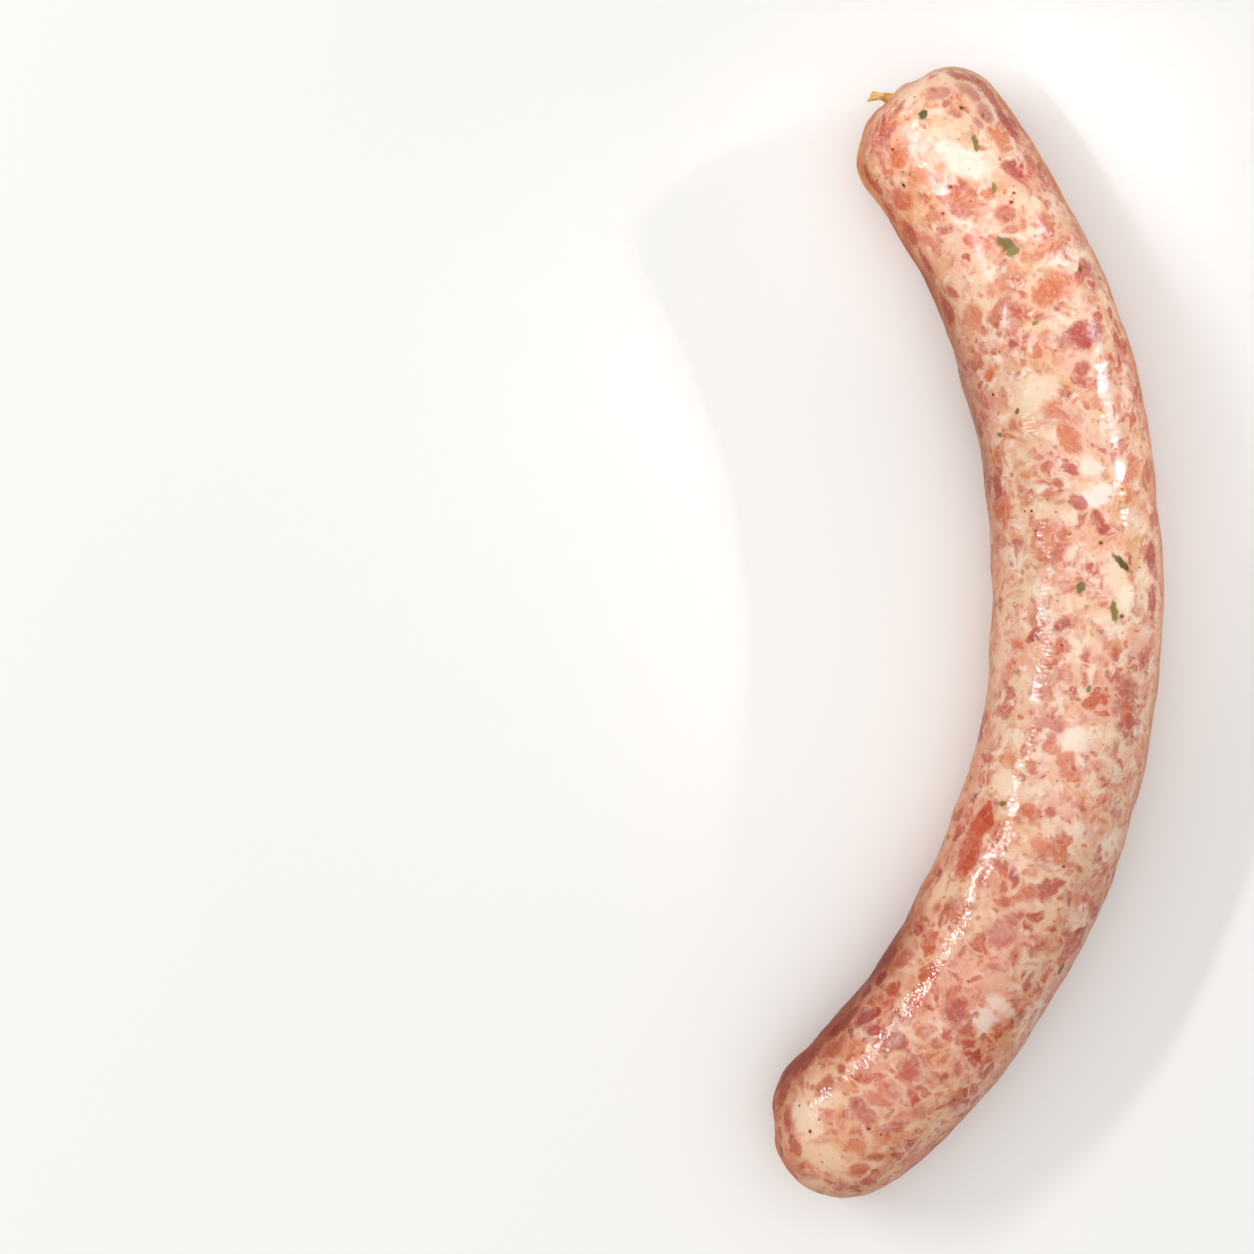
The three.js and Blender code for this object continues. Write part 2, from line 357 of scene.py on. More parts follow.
# Pieces that show through the casing at known places: the photograph's pixel, length and width in mm,
# degrees from the photograph's +x to its long axis (anticlockwise), and a tint. What isn't given is 0.
# Lean tints run from 0, orange, over 0.5, brick red, to 1, magenta. Fat tints run from 0, cream, to 1, white.
# Herb tints run from 0, olive, to 1, dark green. veil is how much paste hides a piece.
leanPieces = [
    dict(at=(899, 107), size=(5, 2.2), turn=45, tint=0.65, veil=0.35),
    dict(at=(888, 135), size=(5, 2.4), turn=60, tint=0.9, veil=0.35),
    dict(at=(899, 158), size=(4.6, 3.2), turn=50, tint=0.08, veil=0.15),
    dict(at=(890, 214), size=(4.6, 3), turn=-60, tint=0.6, veil=0.1),
    dict(at=(909, 232), size=(5.2, 3.6), turn=-50, tint=0.5, veil=0.1),
    dict(at=(925, 262), size=(4, 2), turn=-60, tint=0.6, veil=0.2),
    dict(at=(969, 241), size=(2.6, 2.2), turn=-60, tint=0.3, veil=0.1),
    dict(at=(953, 292), size=(3.4, 2), turn=-20, tint=0.45, veil=0.15),
    dict(at=(971, 318), size=(5.4, 4), turn=70, tint=0.2, veil=0.3),
    dict(at=(994, 290), size=(4.2, 3), turn=30, tint=0.15, veil=0.3),
    dict(at=(1012, 167), size=(3, 2.2), turn=40, tint=0.75, veil=0.1),
    dict(at=(875, 185), size=(4, 2.2), turn=-65, tint=0.62, veil=0.2),
    dict(at=(901, 200), size=(5.5, 4.2), turn=-40, tint=0.35, veil=0.2),
    dict(at=(1011, 171), size=(5, 3), turn=-30, tint=0.8, veil=0.2),
    dict(at=(1049, 293), size=(8.4, 4.4), turn=35, tint=0.2, veil=0.12),
    dict(at=(1085, 332), size=(7.4, 4.2), turn=25, tint=0.85, veil=0.12),
    dict(at=(970, 92), size=(6, 3.4), turn=-30, tint=0.75, veil=0.45),
    dict(at=(918, 178), size=(5, 3.6), turn=20, tint=0.1, veil=0.35),
    dict(at=(965, 213), size=(4.6, 3.4), turn=-20, tint=0.55, veil=0.35),
    dict(at=(1006, 212), size=(4.6, 3), turn=10, tint=0.5, veil=0.3),
    dict(at=(1012, 228), size=(4.2, 1.8), turn=5, tint=0.4, veil=0.25),
    dict(at=(1066, 343), size=(4.6, 2.8), turn=10, tint=0.9, veil=0.4),
    dict(at=(1098, 315), size=(2.4, 1.8), turn=20, tint=0.5, veil=0.1),
    dict(at=(1110, 312), size=(2.2, 1.6), turn=70, tint=0.55, veil=0.1),
    dict(at=(1117, 339), size=(3.2, 2.2), turn=-60, tint=0.5, veil=0.1),
    dict(at=(1082, 371), size=(3.4, 2.4), turn=20, tint=0.5, veil=0.2),
    dict(at=(1068, 440), size=(6.2, 3.8), turn=-70, tint=0.15, veil=0.1),
    dict(at=(997, 486), size=(5.5, 2.4), turn=-85, tint=0.6, veil=0.1),
    dict(at=(1046, 467), size=(2.6, 1.8), turn=30, tint=0.4, veil=0.2),
    dict(at=(1056, 481), size=(2.8, 2), turn=-30, tint=0.45, veil=0.2),
    dict(at=(1047, 495), size=(2.6, 1.6), turn=10, tint=0.35, veil=0.25),
    dict(at=(1078, 505), size=(3.6, 2.2), turn=-45, tint=0.6, veil=0.15),
    dict(at=(1098, 518), size=(3.4, 2), turn=-50, tint=0.62, veil=0.15),
    dict(at=(1103, 527), size=(3.4, 2.6), tint=0.65, veil=0.1),
    dict(at=(1057, 553), size=(4.4, 2.8), turn=60, tint=0.4, veil=0.25),
    dict(at=(1063, 625), size=(4.2, 2.8), turn=20, tint=0.8, veil=0.15),
    dict(at=(1151, 554), size=(5, 3), turn=90, tint=0.6, veil=0.1),
    dict(at=(1152, 603), size=(5.5, 3), turn=90, tint=0.55, veil=0.1),
    dict(at=(1066, 760), size=(3.6, 2.6), turn=40, tint=0.1, veil=0.2),
    dict(at=(1070, 774), size=(3.2, 2), turn=-20, tint=0.15, veil=0.2),
    dict(at=(982, 822), size=(7.5, 4.4), turn=35, tint=0.36),
    dict(at=(967, 852), size=(8.6, 4.4), turn=78, tint=0.38, veil=0.05),
    dict(at=(1027, 810), size=(3.8, 2.8), turn=10, tint=0.35, veil=0.15),
    dict(at=(1049, 811), size=(2.6, 2.2), turn=60, tint=0.45, veil=0.15),
    dict(at=(1039, 844), size=(3.6, 2.6), turn=-20, tint=0.1, veil=0.3),
    dict(at=(1061, 859), size=(3.6, 2.4), turn=30, tint=0.12, veil=0.3),
    dict(at=(1025, 894), size=(3.8, 3), turn=25, tint=0.3, veil=0.1),
    dict(at=(1050, 889), size=(5.4, 3.6), turn=40, tint=0.55, veil=0.1),
    dict(at=(1003, 903), size=(3.4, 2.6), tint=0.4, veil=0.15),
    dict(at=(1000, 935), size=(6.6, 5), turn=30, tint=1, veil=0.45),
    dict(at=(954, 1008), size=(6, 4.4), turn=40, tint=0.65, veil=0.15),
    dict(at=(885, 1045), size=(5, 3.4), turn=35, tint=0.45, veil=0.15),
    dict(at=(895, 1127), size=(5, 3), turn=10, tint=0.9, veil=0.35),
    dict(at=(863, 1113), size=(5.6, 3), turn=-50, tint=0.55, veil=0.25),
    dict(at=(822, 1088), size=(4.6, 3.2), turn=60, tint=0.6, veil=0.25),
    dict(at=(878, 1157), size=(2.4, 1.8), turn=-20, tint=0.45, veil=0.25),
    dict(at=(794, 1146), size=(3.4, 2.4), turn=-60, tint=0.45, veil=0.2),
    dict(at=(856, 1146), size=(4, 2.4), tint=0.15, veil=0.3),
    dict(at=(858, 1169), size=(3.8, 2.2), turn=10, tint=0.2, veil=0.2),
    dict(at=(938, 93), size=(6, 3), turn=20, tint=0.85, veil=0.5),
    dict(at=(953, 113), size=(3.6, 1.8), turn=-20, tint=0.75, veil=0.35),
    dict(at=(946, 104), size=(2.4, 1.6), turn=40, tint=0.8, veil=0.3),
    dict(at=(978, 124), size=(3.4, 1.8), turn=-50, tint=0.8, veil=0.4),
    dict(at=(985, 78), size=(7, 1.8), turn=-52, tint=0.6, veil=0.15),
    dict(at=(978, 82), size=(6, 2.6), turn=-45, tint=0.65, veil=0.3),
    dict(at=(992, 98), size=(8, 2.6), turn=-55, tint=0.55, veil=0.15),
    dict(at=(1006, 122), size=(7, 2.6), turn=-60, tint=0.65, veil=0.08),
    dict(at=(986, 114), size=(5, 3), turn=-60, tint=0.8, veil=0.35),
    dict(at=(962, 76), size=(5, 2), turn=-15, tint=0.7, veil=0.2),
    dict(at=(1034, 168), size=(7, 2.4), turn=-60, tint=0.5, veil=0.2),
    dict(at=(869, 178), size=(6, 2), turn=-65, tint=0.6, veil=0.15),
    dict(at=(893, 232), size=(8, 2), turn=-60, tint=0.55, veil=0.2),
    dict(at=(914, 270), size=(7, 1.8), turn=-62, tint=0.5, veil=0.3),
    dict(at=(949, 312), size=(4.8, 3.6), turn=-60, tint=0.5, veil=0.2),
    dict(at=(882, 977), size=(3.8, 2.4), turn=60, tint=0.65),
    dict(at=(866, 992), size=(3.6, 2.6), turn=45, tint=0.65),
    dict(at=(868, 1015), size=(6.4, 2.6), turn=10, tint=0.62, veil=0.1),
    dict(at=(874, 1031), size=(2.8, 1.8), turn=-10, tint=1, veil=0.15),
    dict(at=(842, 1024), size=(9, 2.8), turn=45, tint=0.58, veil=0.1),
    dict(at=(830, 1052), size=(5.6, 3.6), turn=30, tint=0.4, veil=0.15),
    dict(at=(806, 1062), size=(8, 2.6), turn=47, tint=0.55, veil=0.2),
    dict(at=(785, 1092), size=(5, 2.4), turn=65, tint=0.5, veil=0.25),
    dict(at=(897, 1041), size=(5, 3), turn=-20, tint=0.6, veil=0.1),
    dict(at=(909, 1069), size=(4.2, 3.6), turn=80, tint=0.42, veil=0.1),
    dict(at=(880, 1102), size=(5.2, 2.2), turn=-15, tint=0.3, veil=0.3),
]
fatPieces = [
    dict(at=(898, 90), size=(4, 1.2), turn=45, tint=0.8, veil=0.2),
    dict(at=(964, 160), size=(12, 4.8), turn=-38, tint=0.85, veil=0.2),
    dict(at=(1040, 391), size=(7.4, 5), turn=30, tint=0.3, veil=0.3),
    dict(at=(1102, 493), size=(7.4, 3.8), turn=25, tint=0.9, veil=0.1),
    dict(at=(1093, 467), size=(4.6, 3.6), tint=0.7, veil=0.15),
    dict(at=(1124, 599), size=(4.2, 3.8), turn=80, tint=0.6, veil=0.1),
    dict(at=(1116, 578), size=(4, 3), turn=40, tint=0.1, veil=0.2),
    dict(at=(1076, 740), size=(5, 4.6), tint=0.6, veil=0.15),
    dict(at=(1005, 780), size=(6, 4.6), turn=60, tint=0.2, veil=0.1),
    dict(at=(941, 885), size=(9, 2.6), turn=62, tint=0.2, veil=0.1),
    dict(at=(1000, 1005), size=(6.4, 2.6), turn=-40, tint=0.9, veil=0.2),
    dict(at=(808, 1120), size=(8.6, 5.2), turn=-42, tint=0.45),
    dict(at=(830, 1158), size=(8.6, 5), turn=-20, tint=0.1, veil=0.15),
]
herbFlakes = [
    dict(at=(924, 114), size=(2, 1.5), turn=55, tint=0.9),
    dict(at=(984, 117), size=(1.2, 0.7), turn=60, tint=0.1),
    dict(at=(976, 142), size=(2.9, 1.1), turn=-80, tint=0.3),
    dict(at=(993, 188), size=(1.7, 0.9), turn=80, tint=0.1),
    dict(at=(1006, 243), size=(3.2, 1.8), turn=-15, tint=0.6),
    dict(at=(1013, 250), size=(2.4, 1.5), turn=30, tint=0.2),
    dict(at=(999, 240), size=(1.1, 0.6), turn=-60),
    dict(at=(1100, 279), size=(1.4, 0.8), turn=20, tint=0.4),
    dict(at=(1080, 271), size=(1.2, 0.8), turn=70, tint=0.4),
    dict(at=(1034, 322), size=(1.4, 0.8), turn=10),
    dict(at=(1018, 410), size=(1.2, 0.7), turn=60, tint=0.3),
    dict(at=(1000, 435), size=(1.3, 0.8), tint=0.3),
    dict(at=(1121, 564), size=(4.4, 1.2), turn=-40, tint=1.0),
    dict(at=(1079, 588), size=(2, 1.5), turn=70, tint=0.6),
    dict(at=(1115, 614), size=(3.6, 1.3), turn=-80, tint=0.2),
    dict(at=(1003, 802), size=(1.5, 0.9), tint=0.1),
    dict(at=(1062, 967), size=(2.6, 1.4), turn=70, tint=0.6),
    dict(at=(781, 1150), size=(2.2, 1), turn=-70, tint=0.8),
]
pepperSpecks = [
    dict(at=(962, 107), size=(0.9, 0.8)),
    dict(at=(952, 187), size=(0.8, 0.7)),
    dict(at=(905, 186), size=(1, 0.6), turn=-40),
    dict(at=(892, 149), size=(0.6, 0.5)),
    dict(at=(1013, 203), size=(0.8, 0.7)),
    dict(at=(1015, 193), size=(0.6, 0.5)),
    dict(at=(1124, 349), size=(0.8, 0.7)),
    dict(at=(1102, 542), size=(0.8, 0.7)),
    dict(at=(1123, 615), size=(0.8, 0.7)),
    dict(at=(868, 1130), size=(0.7, 0.6)),
]
# Where the casing lies in fine wrinkles, as at its gathered end; their creases also carry painted white
# highlight glints
wrinkleAndGlintSpots = [
    dict(at=(924, 148), size=(9, 7), turn=40),
    dict(at=(1004, 262), size=(4, 1.8), turn=25),
    dict(at=(1092, 325), size=(16, 3.4), turn=-70),
    dict(at=(1112, 420), size=(16, 3.4), turn=-82),
    dict(at=(1046, 620), size=(14, 5), turn=-88),
    dict(at=(898, 1030), size=(9, 4.4), turn=48),
    dict(at=(818, 1105), size=(8, 3.6), turn=35),
]


# How far each point of the skin is from the nearest of some pieces, in radii of that piece, and its values.
# A piece is an ellipse on the plane that touches the skin under its pixel: the distance is the root of
# x x + y y, the point's shares of its half length and half width.
def nearPieces(pieces, points, normals, reach=6):
    pixels = pixelsOf(points)
    unseen = np.where(normals[..., 2] > 0.02, 0, 1e6)  # keeps a piece off what faces away from the camera
    best = np.full(points.shape[:-1], float(reach))
    offset = np.full(points.shape[:-1] + (2,), float(reach))
    values = {name: np.zeros(points.shape[:-1]) for name in ("tint", "veil")}
    for piece in pieces:
        away = np.linalg.norm(pixels - piece["at"], axis=-1) + unseen
        row, column = np.unravel_index(np.argmin(away), away.shape)
        normal = normals[row, column]
        angle = math.radians(piece.get("turn", 0))
        long = np.array([math.cos(angle), math.sin(angle), 0])
        long -= normal * normal.dot(long)
        long /= np.linalg.norm(long)
        wide = np.cross(normal, long)
        moved = points - points[row, column]
        x = moved @ long / (piece["size"][0] / 2)
        y = moved @ wide / (piece["size"][1] / 2)
        behind = np.where(normals @ normal < 0.1, reach, 0)  # keeps it off the roll's far side
        radius = np.sqrt(x * x + y * y) + behind
        nearer = radius < best
        best = np.where(nearer, radius, best)
        offset = np.where(nearer[..., None], np.stack([x, y], -1), offset)
        for name in values:
            values[name] = np.where(nearer, piece.get(name, 0), values[name])
    return best, offset, values


# Writes one value or vector to each vertex, the two tips getting the mean of the ring beside them
def addAttribute(data, name, values):
    isVector = values.ndim == 3
    attribute = data.attributes.new(name, "FLOAT_VECTOR" if isVector else "FLOAT", "POINT")
    flat = values.reshape(-1, 3) if isVector else values.reshape(-1)
    tips = np.stack([flat[: mesh["around"]].mean(0), flat[-mesh["around"]:].mean(0)])
    whole = np.concatenate([flat, tips]).astype(np.float32)
    attribute.data.foreach_set("vector" if isVector else "value", whole.ravel())


# A closed mesh through rings of points, with a fan at each end
def meshFromRings(name, points):
    rings, around = points.shape[:2]
    flat = points.reshape(-1, 3)
    tips = np.stack([points[0].mean(0), points[-1].mean(0)])
    corner = np.arange(rings * around).reshape(rings, around)
    quads = np.stack([corner[:-1], np.roll(corner, -1, 1)[:-1], np.roll(corner, -1, 1)[1:], corner[1:]], -1)
    top = np.stack([np.full(around, rings * around), np.roll(corner[0], -1), corner[0]], -1)
    bottom = np.stack([np.full(around, rings * around + 1), corner[-1], np.roll(corner[-1], -1)], -1)
    loops = np.concatenate([quads.ravel(), top.ravel(), bottom.ravel()]).astype(np.int32)
    counts = np.concatenate([np.full(quads[..., 0].size, 4), np.full(2 * around, 3)])
    data = bpy.data.meshes.new(name)
    data.vertices.add(len(flat) + 2)
    data.vertices.foreach_set("co", (np.concatenate([flat, tips]) * millimetre).astype(np.float32).ravel())
    data.loops.add(len(loops))
    data.loops.foreach_set("vertex_index", loops)
    data.polygons.add(len(counts))
    data.polygons.foreach_set("loop_start", (np.cumsum(counts) - counts).astype(np.int32))
    data.update(calc_edges=True)
    data.polygons.foreach_set("use_smooth", np.ones(len(counts), bool))
    data.validate()
    piece = bpy.data.objects.new(name, data)
    bpy.context.scene.collection.objects.link(piece)
    return piece


# A socket that Python's signs of arithmetic work on
class Wire:
    def __init__(self, paint, socket):
        self.paint = paint
        self.socket = socket

    # Another output of the same node
    def other(self, output):
        return Wire(self.paint, self.socket.node.outputs[output])

    # What a Math node makes of it and other values
    def maths(self, operation, *values):
        return self.paint.add("Math", {"operation": operation}, dict(enumerate((self, *values))))

    def __add__(self, other):
        return self.maths("ADD", other)

    def __sub__(self, other):
        return self.maths("SUBTRACT", other)

    def __rsub__(self, other):
        return self.maths("MULTIPLY", -1.0) + other

    def __mul__(self, other):
        return self.maths("MULTIPLY", other)

    def __truediv__(self, other):
        return self.maths("DIVIDE", other)

    def __gt__(self, other):
        return self.maths("GREATER_THAN", other)

    def __lt__(self, other):
        return self.maths("LESS_THAN", other)

    __radd__ = __add__
    __rmul__ = __mul__


# The node tree of a material or world, with short names for the nodes that the finishes use
class Paint:
    def __init__(self, owner):
        self.owner = owner
        owner.use_nodes = True
        self.tree = owner.node_tree
        self.tree.nodes.clear()

    # Adds a node: its settings first, then what its sockets hold or are joined to. Gives one of its outputs
    def add(self, kind, settings=None, sockets=None, output=0):
        node = self.tree.nodes.new("ShaderNode" + kind)
        for name, value in (settings or {}).items():
            if name == "stops":
                self.setStops(node.color_ramp, value)
            else:
                setattr(node, name, value)
        for name, value in (sockets or {}).items():
            if isinstance(value, Wire):
                self.tree.links.new(value.socket, node.inputs[name])
            else:
                node.inputs[name].default_value = value
        return Wire(self, node.outputs[output]) if node.outputs else None

    # Stops are pairs of a place and a colour
    def setStops(self, ramp, stops):
        while len(ramp.elements) < len(stops):
            ramp.elements.new(0.5)
        for element, (place, colour) in zip(ramp.elements, stops):
            element.position = place
            element.color = colour

    # What a mesh's attribute holds, as a vector or one value
    def attribute(self, name, output=1):
        return self.add("Attribute", {"attribute_name": name}, output=output)

    def value(self, name):
        return self.attribute(name, 2)

    def parts(self, vector):
        node = self.add("SeparateXYZ", None, {0: vector}).socket.node
        return [Wire(self, socket) for socket in node.outputs]

    def vector(self, operation, *values):
        return self.add("VectorMath", {"operation": operation}, dict(enumerate(values)))

    def scaled(self, vector, factor):
        return self.add("VectorMath", {"operation": "SCALE"}, {0: vector, "Scale": factor})

    def lengthOf(self, vector):
        return self.add("VectorMath", {"operation": "LENGTH"}, {0: vector}, output="Value")

    # A random colour as a vector about 0, from -0.5 to 0.5 each way
    def fromMiddle(self, colour):
        return self.vector("SUBTRACT", colour, (0.5,) * 3)

    def join(self, x, y, z):
        return self.add("CombineXYZ", None, {0: x, 1: y, 2: z})

    # Noise with features about size mm wide, from 0 to 1
    def noise(self, place, size, detail=2.0, roughness=0.5, output=0):
        sockets = {"Vector": place, "Scale": 1 / size, "Detail": detail, "Roughness": roughness}
        return self.add("TexNoise", {"noise_dimensions": "3D"}, sockets, output)

    # Random cells about size mm wide: how far each point is from its cell's middle or edge, in sizes
    def cells(self, place, size, feature="F1"):
        return self.add("TexVoronoi", {"feature": feature}, {"Vector": place, "Scale": 1 / size})

    # An S from 0 at low to 1 at high, and the other way round where high is below low
    def step(self, value, low, high):
        sockets = {"Value": value, 1: low, 2: high}
        return self.add("MapRange", {"interpolation_type": "SMOOTHSTEP"}, sockets)

    def mix(self, factor, a, b, blend="MIX"):
        return self.add("Mix", {"data_type": "RGBA", "blend_type": blend}, {0: factor, 6: a, 7: b}, 2)

    def ramp(self, value, stops):
        return self.add("ValToRGB", {"stops": stops}, {0: value})


# A colour given as on screen, from 0 to 255, as the renderer's linear one
def screen(red, green, blue):
    linear = [((c / 255 + 0.055) / 1.055) ** 2.4 if c > 10 else c / 255 / 12.92 for c in (red, green, blue)]
    return (*linear, 1.0)


filling = {
    "paste": screen(239, 203, 170),
    "pastePink": screen(236, 180, 156),
    "pasteTan": screen(231, 170, 118),
    "cream": screen(247, 218, 184),
    "white": screen(252, 238, 228),
    "membrane": screen(245, 211, 188),
    "olive": screen(138, 118, 16),
    "darkGreen": screen(62, 60, 10),
    "pepper": screen(104, 36, 8),
    "halo": screen(206, 108, 36),
    "dot": screen(140, 48, 22),
    "casing": screen(238, 208, 168),
    "driedCasing": screen(232, 198, 136),
    "amber": screen(206, 150, 66),
}
leanStops = [
    (0.0, screen(220, 122, 68)),
    (0.3, screen(208, 96, 56)),
    (0.5, screen(188, 68, 42)),
    (0.7, screen(174, 44, 36)),
    (1.0, screen(182, 50, 64)),
]
glazes = {  # what the colour is multiplied by
    "fibres": (0.84, 0.5, 0.34, 1),
    # redder and darker towards the lower end: partly its own meat, partly painted shade
    "lower": (0.94, 0.83, 0.77, 1),
    # painted shade: red-brown darkening down the flanks
    "flank": (0.68, 0.37, 0.17, 1),
    # painted shadow on the bow's inner side
    "dark": (0.48, 0.28, 0.2, 1),
}
sizes = {  # of what is strewn in the filling and over the casing, in mm
    "slow": 5.0,
    "quick": 1.1,
    "zones": 9.0,
    "spots": 7.5,
    "softChips": 4.3,
    "chips": 3.1,
    "crumbs": 1.6,
    "milk": 3.2,
    "fibres": 0.7,
    "skins": 4.0,
    "dots": 1.9,
    "pepper": 4.0,
    "flakes": 9.0,
    "streaks": 1.3,
    "creases": 1.5,
    "dashes": 0.5,
    "pores": 0.6,
    "swells": 2.2,
    "wrinkles": 0.8,
}


# The finish: pieces of lean and fat in pale paste behind a thin wet casing. The vectors that are added to the
# place shift each pattern, so that no two line up
def rawPork():
    paint = Paint(bpy.data.materials.new("rawPorkInCasing"))
    place = paint.scaled(paint.add("TexCoord", output="Object"), 1 / millimetre)
    grain = paint.attribute("grain")

    # Everything wavers a little, so that no cell has straight edges
    slow = paint.noise(place, sizes["slow"], 2.0, output="Color")
    quick = paint.noise(place, sizes["quick"], 2.0, output="Color")
    bent = paint.vector("ADD", place, paint.scaled(paint.fromMiddle(slow), 5.0))
    wavy = paint.vector("ADD", bent, paint.scaled(paint.fromMiddle(quick), 0.55))
    mood = paint.parts(slow)
    waver = paint.parts(quick)

    # Paste, and how much lean is in it where
    farther = paint.vector("ADD", place, (31.0, 7.0, 3.0))
    zone = paint.parts(paint.noise(farther, sizes["zones"], 2.0, output="Color"))
    colour = paint.mix(paint.step(zone[0], 0.4, 0.6), filling["paste"], filling["pastePink"])
    colour = paint.mix(paint.step(zone[1] + mood[1] * 0.5, 0.76, 0.96) * 0.7, colour, filling["pasteTan"])
    lower = paint.step(paint.parts(grain)[0], 15.0, 60.0)
    # A shadow painted on the inner side, where more lean shows as well
    dark = paint.value("dark")
    leanHere = paint.step(zone[2] * 0.6 + mood[0] * 0.4 + lower * 0.1, 0.4, 0.56) + dark * 0.7

    # Large soft pieces of fat and lean: a cell's first random number says what it is, the others how it looks
    spot = paint.cells(paint.vector("ADD", wavy, (4.0, 9.0, 2.0)), sizes["spots"])
    kind, hue, hidden = paint.parts(spot.other("Color"))
    body = paint.step(spot + (waver[0] - 0.5) * 0.3, 0.55, 0.3) * (0.9 - hidden * 0.5)
    colour = paint.mix((kind > 0.62) * body, colour, paint.mix(hue, filling["cream"], filling["white"]))
    colour = paint.mix((kind < 0.4) * body, colour, paint.ramp(hue, leanStops))

    # Placed pieces of fat and lean: what is strewn near them is held back
    fatPlace, fatTint, fatVeil = paint.parts(paint.attribute("fatPieces"))
    leanPlace, leanTint, leanVeil = paint.parts(paint.attribute("leanPieces"))
    calm = paint.step(fatPlace.maths("MINIMUM", leanPlace + leanVeil * 1.4), 1.5, 0.9)
    colour = paint.mix(calm * 0.25, colour, filling["paste"])

    # Soft chips that lie deeper
    soft = paint.cells(paint.vector("ADD", wavy, (17.0, 5.0, 11.0)), sizes["softChips"])
    kind, hue, hidden = paint.parts(soft.other("Color"))
    softMask = paint.step(soft, 0.62, 0.28) * (kind < leanHere * 0.3 + 0.35)
    softTone = paint.ramp(hue * 0.5, leanStops)
    colour = paint.mix(softMask * (0.62 - hidden * 0.3) * (1 - calm * 0.5), colour, softTone)

    # Chips of mince in clusters with pale rims, more where there is more lean
    edge = paint.cells(wavy, sizes["chips"], "DISTANCE_TO_EDGE")
    random = paint.cells(wavy, sizes["chips"]).other("Color")
    kind, hue, hidden = paint.parts(random)
    clear = paint.step(mood[1] * 0.5 + zone[0] * 0.5 + lower * 0.1, 0.42, 0.56)
    chip = paint.step(edge, 0.0, hidden * 0.35 + 0.35 - clear * 0.22) * (kind < leanHere * 0.55 + 0.28)
    tone = paint.ramp(hue * 0.5 + zone[1] * 0.4 + lower * 0.1 + dark * 0.25 - 0.04, leanStops)
    colour = paint.mix(chip * (0.5 + clear * 0.4 - hidden * 0.4) * (1 - calm * 0.75), colour, tone)
    crumb = paint.cells(paint.vector("ADD", wavy, (3.0, 19.0, 7.0)), sizes["crumbs"])
    kind, hue, hidden = paint.parts(crumb.other("Color"))
    crumbMask = paint.step(crumb, 0.55, 0.2) * (kind < leanHere * 0.35 + 0.2)
    crumbTone = paint.ramp(hue * 0.7, leanStops)
    colour = paint.mix(crumbMask * (0.8 - hidden * 0.4) * (1 - calm * 0.25), colour, crumbTone)

    # Milky veils of fat over some of it
    milk = paint.noise(paint.vector("ADD", bent, (3.0, 1.0, 8.0)), sizes["milk"], 3.0, 0.6)
    milkMask = paint.step(milk, 0.5, 0.68) * (1 - calm * 0.7) * (0.8 - lower * 0.3)
    colour = paint.mix(milkMask, colour, paint.mix(zone[1], filling["cream"], filling["white"]))

    # The placed pieces themselves
    ragged = (waver[0] - 0.5) * 0.7 + (mood[1] - 0.5) * 1.1 + (mood[0] - 0.5) * 0.7
    fatMask = paint.step(fatPlace + ragged * 1.5, 1.35, 0.6) * (1 - fatVeil)
    colour = paint.mix(fatMask, colour, paint.mix(fatTint, filling["cream"], filling["white"]))
    leanMask = paint.step(leanPlace + ragged * 1.2, 1.3, 0.8 - leanVeil * 0.8) * (0.97 - leanVeil)
    leanTone = paint.ramp(leanTint + (waver[2] - 0.5) * 0.5 + (mood[2] - 0.5) * 0.4, leanStops)
    colour = paint.mix(leanMask, colour, leanTone)

    # Fibres, each chip's its own way, and fine mottling
    way = paint.vector("NORMALIZE", paint.fromMiddle(random))
    along = paint.add("VectorMath", {"operation": "DOT_PRODUCT"}, {0: place, 1: way}, "Value")
    stretched = paint.vector("SUBTRACT", place, paint.scaled(way, along * 0.85))
    fibres = paint.noise(stretched, sizes["fibres"], 2.0, 0.6)
    plain = 1 - fatMask
    colour = paint.mix(paint.step(fibres, 0.5, 0.7) * plain * 0.28, colour, filling["membrane"])
    colour = paint.mix(paint.step(fibres, 0.46, 0.3) * plain * 0.35, colour, glazes["fibres"], "MULTIPLY")

    # Pale skins between the pieces, thin bent lines in the noise
    skins = paint.noise(paint.vector("MULTIPLY", bent, (1.0, 0.6, 1.0)), sizes["skins"], 1.0)
    line = paint.step((skins - 0.5).maths("ABSOLUTE"), 0.035, 0.0)
    veins = line * paint.step(mood[2], 0.4, 0.56) * (1 - leanMask) * (0.45 - lower * 0.2)
    colour = paint.mix(veins, colour, filling["membrane"])

    # Specks of pepper and flakes of herb are strewn and placed. A share of the cells of a size holds a dot of
    # some radius, in mm, with a paler halo
    def dots(colour, size, share, radius, shift, tone, strength):
        dot = paint.cells(paint.vector("ADD", place, shift), size)
        kind = paint.parts(dot.other("Color"))
        mine = (kind[0] < share) * strength
        radius = radius * (kind[1] * 0.8 + 0.6) / size
        colour = paint.mix(paint.step(dot / radius, 2.0, 0.8) * mine * 0.6, colour, filling["halo"])
        return paint.mix(paint.step(dot / radius, 1.1, 0.6) * mine, colour, tone)

    colour = dots(colour, sizes["dots"], 0.5, 0.16, (5.0, 3.0, 1.0), filling["dot"], 0.8)
    colour = dots(colour, sizes["pepper"], 0.5, 0.22, (2.0, 13.0, 29.0), filling["pepper"], 1.0)
    elsewhere = paint.vector("ADD", wavy, (8.0, 4.0, 6.0))
    flake = paint.cells(paint.vector("MULTIPLY", elsewhere, (1.0, 0.5, 1.2)), sizes["flakes"])
    kind, hue, hidden = paint.parts(flake.other("Color"))
    flakeMask = paint.step(flake, 0.09, 0.055) * (kind < 0.3)
    colour = paint.mix(flakeMask * 0.8, colour, paint.mix(hue, filling["olive"], filling["darkGreen"]))

